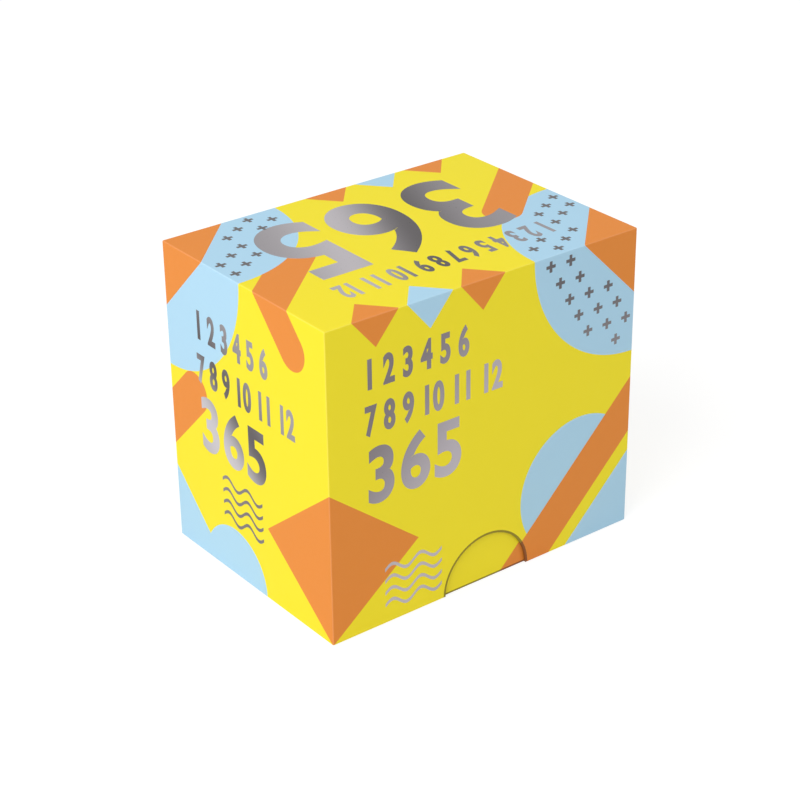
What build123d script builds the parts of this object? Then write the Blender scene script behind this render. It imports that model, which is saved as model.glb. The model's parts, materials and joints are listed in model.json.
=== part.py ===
from build123d import *

import os
from math import asin, atan2, cos, degrees, hypot, radians, sin

# Boxed tear-off desk calendar: a lift-off lid over a low tray, and a pad of day leaves in the tray.
# Millimetres, +Z up. The origin is the centre of the box on the desk, and the front faces -Y.

os.makedirs("parts", exist_ok=True)

# Box
lid_width = 120.0
lid_depth = 85.0
lid_height = 105.0
tray_height = 38.0
lid_clearance = 0.2
lid_rim = 0.3
edge_radius = 0.4
notch_radius = 16.5

# Boards and papers
board_thickness = 0.5
wrap_thickness = 0.12
lining_thickness = 0.12
lid_hem_height = 24.0
tray_hem_height = 15.0
base_margin = 8.0
stay_thickness = 0.1
stay_leg = 12.0
stay_end_gap = 3.0

# Pad
leaf_thickness = 0.14
cover_thickness = 0.3
backing_thickness = 2.0
glue_thickness = 0.8
glue_radius = 0.6
pad_side_clearance = 2.2
pad_front_clearance = 1.5
month_days = {
    "january": 31,
    "february": 28,
    "march": 31,
    "april": 30,
    "may": 31,
    "june": 30,
    "july": 31,
    "august": 31,
    "september": 30,
    "october": 31,
    "november": 30,
    "december": 31,
}

# Easel strut
strut_thickness = 1.5
strut_top_width = 38.0
strut_foot_width = 62.0
strut_foot_clearance = 2.0
strut_wall_clearance = 0.3
strut_corner_radius = 4.0
strut_arch_width = 34.0
strut_arch_height = 9.0
flap_height = 16.0
flap_corner_radius = 3.0
flap_head_gap = 4.0
crease_gap = 0.3

# One overrun for every cut that has to pass a face
overrun = 2.0

# Lid, from the outside in
lid_board_width = lid_width - 2 * wrap_thickness
lid_board_depth = lid_depth - 2 * wrap_thickness
lid_board_foot = lid_rim + wrap_thickness
lid_board_top = lid_height - wrap_thickness
lid_cavity_width = lid_board_width - 2 * board_thickness
lid_cavity_depth = lid_board_depth - 2 * board_thickness
lid_cavity_top = lid_board_top - board_thickness
lid_inner_width = lid_cavity_width - 2 * wrap_thickness
lid_inner_depth = lid_cavity_depth - 2 * wrap_thickness
lid_hem_top = lid_rim + lid_hem_height
lid_ceiling = lid_cavity_top - lining_thickness
board_edge_radius = edge_radius - wrap_thickness
stay_radius = board_edge_radius - stay_thickness

# Tray, from the outside in
tray_width = lid_inner_width - 2 * lid_clearance
tray_depth = lid_inner_depth - 2 * lid_clearance
tray_board_width = tray_width - 2 * wrap_thickness
tray_board_depth = tray_depth - 2 * wrap_thickness
tray_board_top = tray_height - wrap_thickness
tray_cavity_width = tray_board_width - 2 * board_thickness
tray_cavity_depth = tray_board_depth - 2 * board_thickness
tray_cavity_floor = wrap_thickness + board_thickness
tray_hem_foot = tray_height - tray_hem_height
tray_inner_width = tray_cavity_width - 2 * max(wrap_thickness, lining_thickness)
tray_inner_depth = tray_cavity_depth - 2 * max(wrap_thickness, lining_thickness)
tray_floor = tray_cavity_floor + lining_thickness
base_sheet_width = tray_width - 2 * base_margin
base_sheet_depth = tray_depth - 2 * base_margin

# Pad, standing on the tray's floor behind its front wall, with the lid resting on its head
leaf_width = tray_inner_width - 2 * pad_side_clearance
leaf_top = lid_ceiling - glue_thickness
leaf_height = leaf_top - tray_floor
pad_front = pad_front_clearance - tray_inner_depth / 2
leaves_front = pad_front + cover_thickness
leaves_back = leaves_front + sum(month_days.values()) * leaf_thickness
backing_back = leaves_back + backing_thickness

# Strut, hinged on its crease and leaning back until its foot reaches the tray's back wall
crease_y = backing_back + crease_gap + strut_thickness / 2
flap_foot = leaf_top - flap_head_gap - flap_height
crease_z = flap_foot - crease_gap - strut_thickness / 2
strut_length = crease_z - tray_floor - strut_foot_clearance
foot_reach = tray_inner_depth / 2 - strut_wall_clearance - crease_y
foot_corner = hypot(strut_length, strut_thickness / 2)
strut_lean = degrees(asin(foot_reach / foot_corner) - atan2(strut_thickness / 2, strut_length))
strut_back = Vector(0, cos(radians(strut_lean)), sin(radians(strut_lean)))
crease_line = Vector(0, crease_y, crease_z)
strut_plane = Plane(origin=crease_line, x_dir=(1, 0, 0), z_dir=strut_back)


# Thumb notch: a half round through the front and back walls, centred on the desk
notch_plane = Plane.XZ

# Lid shell: five greyboard panels, open below
with BuildPart() as lid_shell:
    with BuildSketch(Plane.XY.offset(lid_board_foot)):
        Rectangle(lid_board_width, lid_board_depth)
    extrude(amount=lid_board_top - lid_board_foot)
    upright_edges = lid_shell.edges().filter_by(Axis.Z)
    top_edges = lid_shell.faces().sort_by(Axis.Z)[-1].edges()
    fillet(upright_edges + top_edges, radius=board_edge_radius)
    with BuildSketch(Plane.XY.offset(lid_cavity_top)):
        Rectangle(lid_cavity_width, lid_cavity_depth)
    extrude(amount=-lid_cavity_top, mode=Mode.SUBTRACT)
    with BuildSketch(notch_plane):
        Circle(notch_radius + wrap_thickness)
    extrude(amount=lid_depth / 2 + overrun, both=True, mode=Mode.SUBTRACT)

# Corner stays: paper tape round each upright corner, pressed flush into the board
with BuildPart() as lid_corner_stays:
    with BuildSketch(Plane.XY.offset(lid_board_foot)):
        RectangleRounded(lid_board_width, lid_board_depth, board_edge_radius)
        RectangleRounded(
            lid_board_width - 2 * stay_thickness,
            lid_board_depth - 2 * stay_thickness,
            stay_radius,
            mode=Mode.SUBTRACT,
        )
        Rectangle(lid_board_width - 2 * stay_leg, lid_depth, mode=Mode.SUBTRACT)
        Rectangle(lid_width, lid_board_depth - 2 * stay_leg, mode=Mode.SUBTRACT)
    extrude(amount=lid_board_top - lid_board_foot - stay_end_gap)
lid_corner_stays.part.label = "lid_corner_stays"
export_step(lid_corner_stays.part, "parts/lid_corner_stays.step")

# Lid board: a top panel on four walls, butted at the corners, with the side walls between the others
with BuildPart() as lid_top_panel:
    add(lid_shell.part)
    add(lid_corner_stays.part, mode=Mode.SUBTRACT)
    split(bisect_by=Plane.XY.offset(lid_cavity_top), keep=Keep.TOP)

with BuildPart() as lid_walls:
    add(lid_shell.part)
    add(lid_corner_stays.part, mode=Mode.SUBTRACT)
    split(bisect_by=Plane.XY.offset(lid_cavity_top), keep=Keep.BOTTOM)
    split(bisect_by=Plane.XZ.offset(lid_cavity_depth / 2), keep=Keep.BOTH)
    split(bisect_by=Plane.XZ.offset(-lid_cavity_depth / 2), keep=Keep.BOTH)

lid_board = Compound(lid_top_panel.part.solids() + lid_walls.part.solids())
lid_board.label = "lid_board"
export_step(lid_board, "parts/lid_board.step")

# Lid wrap: one printed sheet over the panels, turned round the rim and the notches and up the inside
with BuildPart() as lid_wrap:
    with BuildSketch(Plane.XY.offset(lid_rim)):
        Rectangle(lid_width, lid_depth)
    extrude(amount=lid_height - lid_rim)
    upright_edges = lid_wrap.edges().filter_by(Axis.Z)
    top_edges = lid_wrap.faces().sort_by(Axis.Z)[-1].edges()
    fillet(upright_edges + top_edges, radius=edge_radius)
    with BuildSketch(Plane.XY.offset(lid_hem_top)):
        Rectangle(lid_inner_width, lid_inner_depth)
    extrude(amount=-lid_hem_top, mode=Mode.SUBTRACT)
    with BuildSketch(Plane.XY.offset(lid_hem_top)):
        Rectangle(lid_cavity_width, lid_cavity_depth)
    extrude(amount=lid_cavity_top - lid_hem_top, mode=Mode.SUBTRACT)
    with BuildSketch(notch_plane):
        Circle(notch_radius)
    extrude(amount=lid_depth / 2 + overrun, both=True, mode=Mode.SUBTRACT)
    add(lid_shell.part, mode=Mode.SUBTRACT)
lid_wrap.part.label = "lid_wrap"
export_step(lid_wrap.part, "parts/lid_wrap.step")

# Lid lining: white paper on the ceiling and down the walls to the hem
with BuildPart() as lid_lining:
    with BuildSketch(Plane.XY.offset(lid_cavity_top)):
        Rectangle(lid_cavity_width, lid_cavity_depth)
    extrude(amount=lid_hem_top - lid_cavity_top)
    with BuildSketch(Plane.XY.offset(lid_ceiling)):
        Rectangle(lid_cavity_width - 2 * lining_thickness, lid_cavity_depth - 2 * lining_thickness)
    extrude(amount=-lid_ceiling, mode=Mode.SUBTRACT)
lid_lining.part.label = "lid_lining"
export_step(lid_lining.part, "parts/lid_lining.step")

# Tray shell: five greyboard panels, open above
with BuildPart() as tray_shell:
    with BuildSketch(Plane.XY.offset(wrap_thickness)):
        Rectangle(tray_board_width, tray_board_depth)
    extrude(amount=tray_board_top - wrap_thickness)
    upright_edges = tray_shell.edges().filter_by(Axis.Z)
    foot_edges = tray_shell.faces().sort_by(Axis.Z)[0].edges()
    fillet(upright_edges + foot_edges, radius=board_edge_radius)
    with BuildSketch(Plane.XY.offset(tray_cavity_floor)):
        Rectangle(tray_cavity_width, tray_cavity_depth)
    extrude(amount=tray_height, mode=Mode.SUBTRACT)

with BuildPart() as tray_corner_stays:
    with BuildSketch(Plane.XY.offset(tray_board_top)):
        RectangleRounded(tray_board_width, tray_board_depth, board_edge_radius)
        RectangleRounded(
            tray_board_width - 2 * stay_thickness,
            tray_board_depth - 2 * stay_thickness,
            stay_radius,
            mode=Mode.SUBTRACT,
        )
        Rectangle(tray_board_width - 2 * stay_leg, tray_depth, mode=Mode.SUBTRACT)
        Rectangle(tray_width, tray_board_depth - 2 * stay_leg, mode=Mode.SUBTRACT)
    extrude(amount=wrap_thickness + stay_end_gap - tray_board_top)
tray_corner_stays.part.label = "tray_corner_stays"
export_step(tray_corner_stays.part, "parts/tray_corner_stays.step")

# Tray board: a floor panel under four walls, butted like the lid's
with BuildPart() as tray_floor_panel:
    add(tray_shell.part)
    add(tray_corner_stays.part, mode=Mode.SUBTRACT)
    split(bisect_by=Plane.XY.offset(tray_cavity_floor), keep=Keep.BOTTOM)

with BuildPart() as tray_walls:
    add(tray_shell.part)
    add(tray_corner_stays.part, mode=Mode.SUBTRACT)
    split(bisect_by=Plane.XY.offset(tray_cavity_floor), keep=Keep.TOP)
    split(bisect_by=Plane.XZ.offset(tray_cavity_depth / 2), keep=Keep.BOTH)
    split(bisect_by=Plane.XZ.offset(-tray_cavity_depth / 2), keep=Keep.BOTH)

tray_board = Compound(tray_floor_panel.part.solids() + tray_walls.part.solids())
tray_board.label = "tray_board"
export_step(tray_board, "parts/tray_board.step")

# Tray wrap: a printed sheet round the walls, turned over the rim as a hem and under the foot as a margin
with BuildPart() as tray_wrap:
    with BuildSketch():
        Rectangle(tray_width, tray_depth)
    extrude(amount=tray_height)
    upright_edges = tray_wrap.edges().filter_by(Axis.Z)
    foot_edges = tray_wrap.faces().sort_by(Axis.Z)[0].edges()
    fillet(upright_edges + foot_edges, radius=edge_radius)
    with BuildSketch(Plane.XY.offset(tray_cavity_floor)):
        Rectangle(tray_cavity_width, tray_cavity_depth)
    extrude(amount=tray_hem_foot - tray_cavity_floor, mode=Mode.SUBTRACT)
    with BuildSketch(Plane.XY.offset(tray_hem_foot)):
        Rectangle(tray_cavity_width - 2 * wrap_thickness, tray_cavity_depth - 2 * wrap_thickness)
    extrude(amount=tray_height, mode=Mode.SUBTRACT)
    with BuildSketch():
        Rectangle(base_sheet_width, base_sheet_depth)
    extrude(amount=wrap_thickness, mode=Mode.SUBTRACT)
    add(tray_shell.part, mode=Mode.SUBTRACT)
tray_wrap.part.label = "tray_wrap"
export_step(tray_wrap.part, "parts/tray_wrap.step")

# Base sheet: the paper panel that fills the wrap's margin under the tray
with BuildPart() as tray_base_sheet:
    with BuildSketch():
        Rectangle(base_sheet_width, base_sheet_depth)
    extrude(amount=wrap_thickness)
tray_base_sheet.part.label = "tray_base_sheet"
export_step(tray_base_sheet.part, "parts/tray_base_sheet.step")

# Tray lining: white paper on the floor and up the walls to the hem
with BuildPart() as tray_lining:
    with BuildSketch(Plane.XY.offset(tray_cavity_floor)):
        Rectangle(tray_cavity_width, tray_cavity_depth)
    extrude(amount=tray_hem_foot - tray_cavity_floor)
    with BuildSketch(Plane.XY.offset(tray_floor)):
        Rectangle(tray_cavity_width - 2 * lining_thickness, tray_cavity_depth - 2 * lining_thickness)
    extrude(amount=tray_hem_foot, mode=Mode.SUBTRACT)
tray_lining.part.label = "tray_lining"
export_step(tray_lining.part, "parts/tray_lining.step")

# Cover leaf: the card on the front of the pad
with BuildPart() as cover_leaf:
    with BuildSketch(Plane.XY.offset(tray_floor)):
        with Locations((0, pad_front)):
            Rectangle(leaf_width, cover_thickness, align=(Align.CENTER, Align.MIN))
    extrude(amount=leaf_height)
cover_leaf.part.label = "cover_leaf"
export_step(cover_leaf.part, "parts/cover_leaf.step")

# Day leaves: one block for each month, as thick as its days, from the front to the back
month_front = leaves_front
for month, days in month_days.items():
    with BuildPart() as month_leaves:
        with BuildSketch(Plane.XY.offset(tray_floor)):
            with Locations((0, month_front)):
                Rectangle(leaf_width, days * leaf_thickness, align=(Align.CENTER, Align.MIN))
        extrude(amount=leaf_height)
    month_leaves.part.label = f"{month}_leaves"
    export_step(month_leaves.part, f"parts/{month}_leaves.step")
    month_front += days * leaf_thickness

# Backing board: the stiff board that the leaves are glued up with
with BuildPart() as backing_board:
    with BuildSketch(Plane.XY.offset(tray_floor)):
        with Locations((0, leaves_back)):
            Rectangle(leaf_width, backing_thickness, align=(Align.CENTER, Align.MIN))
    extrude(amount=leaf_height)
backing_board.part.label = "backing_board"
export_step(backing_board.part, "parts/backing_board.step")

# Head glue: the padding glue brushed along the top edge of the leaves and the board
with BuildPart() as head_glue:
    with BuildSketch(Plane.XY.offset(leaf_top)):
        with Locations((0, pad_front)):
            Rectangle(leaf_width, backing_back - pad_front, align=(Align.CENTER, Align.MIN))
    extrude(amount=glue_thickness)
    fillet(head_glue.faces().sort_by(Axis.Z)[-1].edges(), radius=glue_radius)
head_glue.part.label = "head_glue"
export_step(head_glue.part, "parts/head_glue.step")

# Strut flap: the strut's board above its crease, glued to the backing board
with BuildPart() as strut_flap:
    with BuildSketch(Plane.XZ.offset(-backing_back)):
        with Locations((0, flap_foot)):
            Rectangle(strut_top_width, flap_height, align=(Align.CENTER, Align.MIN))
    extrude(amount=-strut_thickness)
    top_corners = strut_flap.edges().filter_by(Axis.Y).group_by(Axis.Z)[-1]
    fillet(top_corners, radius=flap_corner_radius)
strut_flap.part.label = "strut_flap"
export_step(strut_flap.part, "parts/strut_flap.step")

# Easel strut: tapered from the rolled crease to two feet, on a plane that leans back from the board
with BuildPart() as easel_strut:
    with BuildSketch(strut_plane) as strut_outline:
        with BuildLine():
            Polyline(
                (-strut_arch_width / 2, strut_length),
                (-strut_foot_width / 2, strut_length),
                (-strut_top_width / 2, 0),
                (strut_top_width / 2, 0),
                (strut_foot_width / 2, strut_length),
                (strut_arch_width / 2, strut_length),
            )
            ThreePointArc(
                (strut_arch_width / 2, strut_length),
                (0, strut_length - strut_arch_height),
                (-strut_arch_width / 2, strut_length),
            )
        make_face()
        foot_corners = strut_outline.vertices().group_by(Axis.Y)[-1].sort_by(Axis.X)
        fillet([foot_corners[0], foot_corners[-1]], radius=strut_corner_radius)
    extrude(amount=strut_thickness / 2, both=True)
    with BuildSketch(Plane.YZ):
        with Locations((crease_y, crease_z)):
            Circle(strut_thickness / 2)
    extrude(amount=strut_top_width / 2, both=True)
easel_strut.part.label = "easel_strut"
export_step(easel_strut.part, "parts/easel_strut.step")

print("crease line", crease_line, "lean", round(strut_lean, 3), "strut length", round(strut_length, 3))
print("leaf", round(leaf_width, 3), "by", round(leaf_height, 3), "pad back", round(backing_back, 3))
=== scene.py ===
# %% [markdown]
# # A page-a-day desk calendar in its box
#
# The calendar is a block of leaves glued along its head. It stands in a low tray, leans on a
# folding easel strut, and hides under a deep printed lid that has a thumb notch front and back.
# The solid model gives every piece its size and place. This lesson dresses it: print and foil on
# the wrapped box, separate leaves in the block, fibres in the boards, and a studio to see it in.
# The model comes first, because each later piece is placed by the boxes of its nodes.

# %% Load the frame
import json
import math
import random

import bmesh
import bpy
from mathutils import Matrix, Vector, noise


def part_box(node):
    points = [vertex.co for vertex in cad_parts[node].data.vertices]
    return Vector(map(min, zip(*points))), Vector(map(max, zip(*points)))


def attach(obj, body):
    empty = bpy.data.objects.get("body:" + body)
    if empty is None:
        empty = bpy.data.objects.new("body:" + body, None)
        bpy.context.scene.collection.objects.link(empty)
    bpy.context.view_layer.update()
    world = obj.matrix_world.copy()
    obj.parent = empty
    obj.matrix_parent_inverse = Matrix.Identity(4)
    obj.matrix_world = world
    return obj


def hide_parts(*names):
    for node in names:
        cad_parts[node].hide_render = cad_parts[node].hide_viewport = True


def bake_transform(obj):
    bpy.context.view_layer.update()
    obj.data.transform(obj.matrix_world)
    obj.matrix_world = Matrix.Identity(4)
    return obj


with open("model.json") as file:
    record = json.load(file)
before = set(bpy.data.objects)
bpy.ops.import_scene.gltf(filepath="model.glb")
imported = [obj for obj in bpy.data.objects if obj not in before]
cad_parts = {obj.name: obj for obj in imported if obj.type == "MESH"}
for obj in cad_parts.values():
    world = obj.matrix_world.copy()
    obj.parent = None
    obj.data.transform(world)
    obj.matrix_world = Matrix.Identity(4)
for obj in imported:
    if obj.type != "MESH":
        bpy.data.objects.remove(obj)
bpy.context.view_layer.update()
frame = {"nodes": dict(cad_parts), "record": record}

MM = 0.001

# %% [markdown]
# ## The camera
#
# A product photographer uses a long lens, so that the box keeps nearly parallel edges. The view is
# given as a turn and a height angle round an aim point near the middle of the box. From these come
# three directions at right angles, and a slight roll turns two of them. Writing them into a matrix
# is surer than stacking rotations, where the order is easy to get wrong.

# %% Camera
aim = Vector((-1.934, -1.232, 48.335)) * MM
azimuth, elevation, roll = math.radians(-37.425), math.radians(27.340), math.radians(-0.701)
camera_distance, nearest_seen = 678.12 * MM, 10.0 * MM
lens_mm, sensor_mm = 95.274, 36.0

backward = Vector((
    math.sin(azimuth) * math.cos(elevation),
    -math.cos(azimuth) * math.cos(elevation),
    math.sin(elevation),
))
level_right = (-backward).cross(Vector((0, 0, 1))).normalized()
level_up = level_right.cross(-backward)
right = math.cos(roll) * level_right + math.sin(roll) * level_up
up = math.cos(roll) * level_up - math.sin(roll) * level_right

bpy.ops.object.camera_add()
camera = bpy.context.object
camera.matrix_world = Matrix.LocRotScale(
    aim + camera_distance * backward,
    Matrix((right, up, backward)).transposed().to_quaternion(),
    None,
)
camera.data.lens = lens_mm
camera.data.sensor_width = sensor_mm
camera.data.clip_start = nearest_seen
bpy.context.scene.camera = camera
bpy.context.scene.view_settings.view_transform = "Standard"
print("camera at", [round(value / MM, 1) for value in camera.location], "mm")

# %% [markdown]
# ## Small helpers for materials
#
# A colour picked on screen is an sRGB value, while the shader counts light in a straight line, so
# one function turns a hex colour to linear. Every finish is a small graph of nodes. Adding a node by
# hand takes several lines, so one function adds it with its settings, its values and its links.
# Filling the sockets is a step of its own, because a new material already has its shader.

# %% Colours and nodes
# A Mix node has sockets of the same names for numbers and colours, so these are known by their index.
MIX_FACTOR, MIX_UNDER, MIX_OVER, MIX_RESULT = 0, 6, 7, 2
pure_white = "#ffffff"


def linear(hex_colour):
    # The sRGB curve has a short straight foot and goes on as a power.
    channels = [int(hex_colour[start:start + 2], 16) / 255 for start in (1, 3, 5)]
    lit = [c / 12.92 if c <= 0.04045 else ((c + 0.055) / 1.055) ** 2.4 for c in channels]
    return (*lit, 1.0)


def feed(tree, made, values):
    for socket, value in values.items():
        if isinstance(value, bpy.types.NodeSocket):
            tree.links.new(value, made.inputs[socket])
        else:
            made.inputs[socket].default_value = value


def node(tree, kind, values=None, **settings):
    made = tree.nodes.new(kind)
    for name, value in settings.items():
        setattr(made, name, value)
    feed(tree, made, values or {})
    return made


def start_material(name):
    material = bpy.data.materials.new(name)
    material.use_nodes = True
    tree = material.node_tree
    # Patterns are drawn in millimetres of the piece's own space, so they move with it.
    place = node(tree, "ShaderNodeTexCoord").outputs["Object"]
    scaled = node(tree, "ShaderNodeVectorMath", {0: place, "Scale": 1 / MM}, operation="SCALE")
    return material, tree, tree.nodes["Principled BSDF"], scaled.outputs[0]


print("middle grey in linear light:", round(linear("#808080")[0], 3))

# %% [markdown]
# ## The floor
#
# The box stands on a sheet of white paper. In soft light such a sheet photographs a little grey, and
# more light would bleach the box with it. So the sheet is white to the camera and to anything that
# mirrors it. Part of that white comes from the light that falls on it, so it still takes a soft
# shadow. To all other rays it is plain white paper, which throws light back at the walls.

# %% Floor
floor_drop = 0.02 * MM
floor_span = 8.0
sheet_white, shadow_white, own_light = "#e6e6e6", "#969696", 0.79


def seen_directly(tree):
    rays = node(tree, "ShaderNodeLightPath").outputs
    seen = rays["Is Camera Ray"]
    for ray in ("Is Glossy Ray", "Is Transmission Ray"):
        either = node(tree, "ShaderNodeMath", {0: seen, 1: rays[ray]}, operation="MAXIMUM")
        seen = either.outputs[0]
    return seen


bpy.ops.mesh.primitive_plane_add(size=floor_span, location=(0, 0, -floor_drop))
floor = bpy.context.object
floor.name = "studio_floor"

floor_paper, tree, shader, place = start_material("white_paper_sweep")
feed(tree, shader, {"Base Color": linear(sheet_white), "Roughness": 0.9})
shadow_taker = node(tree, "ShaderNodeBsdfDiffuse", {"Color": linear(shadow_white)})
own_white = node(tree, "ShaderNodeEmission", {"Strength": own_light})
white_sweep = node(tree, "ShaderNodeAddShader", {0: shadow_taker.outputs[0], 1: own_white.outputs[0]})
sweep = node(tree, "ShaderNodeMixShader", {
    0: seen_directly(tree), 1: shader.outputs[0], 2: white_sweep.outputs[0],
})
feed(tree, tree.nodes["Material Output"], {"Surface": sweep.outputs[0]})
floor.data.materials.append(floor_paper)
print("floor:", floor_span, "m across")

# %% [markdown]
# ## The light
#
# A studio lights a box through softboxes, large white cloths with a lamp behind them. The key stands
# high on the left, so the left wall is the brightest, then the top, then the front. A weak fill on
# the right keeps the front clear, and an even white sky lifts the rest. A picture of a room could
# light the box too, but lamps are easier to place and to change.

# %% World and lamps
sky_level, white_level = 0.53, 1.0
key_direction = Vector((-0.70, -0.20, 0.68)).normalized()
key_distance, key_size, key_power = 1.7, 1.1, 20.0
fill_direction = Vector((0.55, -0.75, 0.35)).normalized()
fill_distance, fill_size, fill_power = 1.8, 1.4, 1.6

world = bpy.data.worlds.new("studio_world")
bpy.context.scene.world = world
world.use_nodes = True
tree = world.node_tree
soft_sky = tree.nodes["Background"]
feed(tree, soft_sky, {"Color": linear(pure_white), "Strength": sky_level})
white_sky = node(tree, "ShaderNodeBackground", {"Color": linear(pure_white), "Strength": white_level})
sky = node(tree, "ShaderNodeMixShader", {
    0: seen_directly(tree), 1: soft_sky.outputs[0], 2: white_sky.outputs[0],
})
feed(tree, tree.nodes["World Output"], {"Surface": sky.outputs[0]})

for lamp_name, direction, distance, size, power in (
    ("key_softbox", key_direction, key_distance, key_size, key_power),
    ("fill_softbox", fill_direction, fill_distance, fill_size, fill_power),
):
    bpy.ops.object.light_add(
        type="AREA",
        location=aim + distance * direction,
        rotation=direction.to_track_quat("Z", "Y").to_euler(),
    )
    lamp = bpy.context.object
    lamp.name = lamp_name
    lamp.data.size = size
    lamp.data.energy = power
    print(lamp_name, power, "W")

# %% [markdown]
# ## The printed wrap
#
# Lid and tray are greyboard covered with one sheet of coated paper, printed in three flat inks and
# laminated matt. The design is a plain play of shapes: quarter discs, diamonds, half discs and bars.
# The sheet was printed flat and then folded, so a shape runs over a fold without a break, and also
# through the thumb notch onto the tray. To draw that, two neighbouring faces are unrolled into
# one flat chart: past the fold, the distance along the next face is added on. Image textures
# would need an unwrap for each shell. Charts worked out from the position need none.

# %% Sizes of the two wrapped shells
lid_low, lid_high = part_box("lid_wrap")
tray_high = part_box("tray_wrap")[1]
lid_half_width, lid_half_depth = lid_high[0] / MM, lid_high[1] / MM
lid_top = lid_high[2] / MM
tray_half_width, tray_half_depth = tray_high[0] / MM, tray_high[1] / MM
print("lid", lid_half_width, lid_half_depth, lid_top, "tray", tray_half_width, tray_half_depth)

# %% A chart across a fold
def fold_chart(tree, place, across, rise, shift):
    along = node(tree, "ShaderNodeVectorMath", {0: place, 1: across}, operation="DOT_PRODUCT")
    height = node(tree, "ShaderNodeVectorMath", {0: place, 1: rise}, operation="DOT_PRODUCT")
    flat = node(tree, "ShaderNodeCombineXYZ", {"X": along.outputs["Value"], "Y": height.outputs["Value"]})
    return node(tree, "ShaderNodeVectorMath", {0: flat.outputs[0], 1: shift}).outputs[0]


print("front and left wall unrolled:", 2 * (lid_half_width + lid_half_depth), "mm wide")

# %% [markdown]
# ### Shapes as tests
#
# A shader has no pen. It is asked for the colour of one point at a time, so each printed shape is
# a test of that point: nearer to a centre than a radius, inside the slopes of a diamond, close to
# a line, or beyond a plane. A painted picture would blur when the camera comes near. A test gives
# 1 inside and 0 outside, so its edge is as sharp as print at any distance.

# %% Disc, diamond, bar and plane
def disc(tree, chart, centre, radius):
    reach = node(tree, "ShaderNodeVectorMath", {0: chart, 1: centre}, operation="DISTANCE")
    inside = node(tree, "ShaderNodeMath", {0: reach.outputs["Value"], 1: radius}, operation="LESS_THAN")
    return inside.outputs[0]


def diamond(tree, chart, centre, half_length, half_height):
    offset = node(tree, "ShaderNodeVectorMath", {0: chart, 1: centre}, operation="SUBTRACT")
    offset = node(tree, "ShaderNodeVectorMath", {0: offset.outputs[0]}, operation="ABSOLUTE")
    slopes = (1 / half_length, 1 / half_height, 0)
    reach = node(tree, "ShaderNodeVectorMath", {0: offset.outputs[0], 1: slopes}, operation="DOT_PRODUCT")
    inside = node(tree, "ShaderNodeMath", {0: reach.outputs["Value"], 1: 1.0}, operation="LESS_THAN")
    return inside.outputs[0]


def bar(tree, chart, start, end, half_width):
    start, end = Vector((*start, 0)), Vector((*end, 0))
    length = (end - start).length
    heading = (end - start) / length
    offset = node(tree, "ShaderNodeVectorMath", {0: chart, 1: start}, operation="SUBTRACT")
    along = node(tree, "ShaderNodeVectorMath", {0: offset.outputs[0], 1: heading}, operation="DOT_PRODUCT")
    along = node(tree, "ShaderNodeClamp", {"Value": along.outputs["Value"], "Min": 0.0, "Max": length})
    nearest = node(tree, "ShaderNodeVectorMath", {
        0: heading, "Scale": along.outputs[0],
    }, operation="SCALE")
    return disc(tree, offset.outputs[0], nearest.outputs[0], half_width)


def beyond(tree, place, towards, distance):
    reach = node(tree, "ShaderNodeVectorMath", {0: place, 1: towards}, operation="DOT_PRODUCT")
    mask = node(tree, "ShaderNodeMath", {0: reach.outputs["Value"], 1: distance}, operation="GREATER_THAN")
    return mask.outputs[0]


print("tests: disc, diamond, bar, beyond")

# %% [markdown]
# ### The layout
#
# The shapes are laid out once, for the front, the left side and half of the top, and the layout is
# then turned half round for the other sides. A face is found by position: a point within a hair
# of the outer size is on that face, so the hems that turn inside keep the plain ground colour.
# Inks are laid one over another, as on a press, so the order of the layers is part of the design.

# %% Print layout in millimetres
ground_ink, warm_ink, cool_ink = "#f4e216", "#e4882e", "#add5ec"
face_skin = 0.7
corner_disc_radius, corner_cap_leg = 42.0, 22.0
slant_start, slant_end, slant_half_width = (2.0, -14.0), (74.0, 58.0), 7.0
rising_disc_place, rising_disc_radius = (38.0, 22.0, 0.0), 24.0
low_diamond_half = 27.0
edge_diamond_height, edge_diamond_half = 26.0, 33.0
side_disc_place, side_disc_radius = -52.0, 17.0
ribbon_start, ribbon_end, ribbon_half_width = (-26.0, -12.0), (6.0, 24.0), 6.5
pennant_places, pennant_half_width, pennant_half_height = (-42.0, -22.0, -2.0), 8.5, 10.0


def lay_ink(tree, under, ink, shape, *faces):
    shown = faces[0]
    for face in faces[1:]:
        shown = node(tree, "ShaderNodeMath", {0: shown, 1: face}, operation="MAXIMUM").outputs[0]
    mask = node(tree, "ShaderNodeMath", {0: shape, 1: shown}, operation="MULTIPLY")
    return node(tree, "ShaderNodeMix", {
        MIX_FACTOR: mask.outputs[0], MIX_UNDER: under, MIX_OVER: linear(ink),
    }, data_type="RGBA").outputs[MIX_RESULT]


print("slanted bar", 2 * slant_half_width, "mm wide, corner disc", 2 * corner_disc_radius, "mm across")

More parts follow.
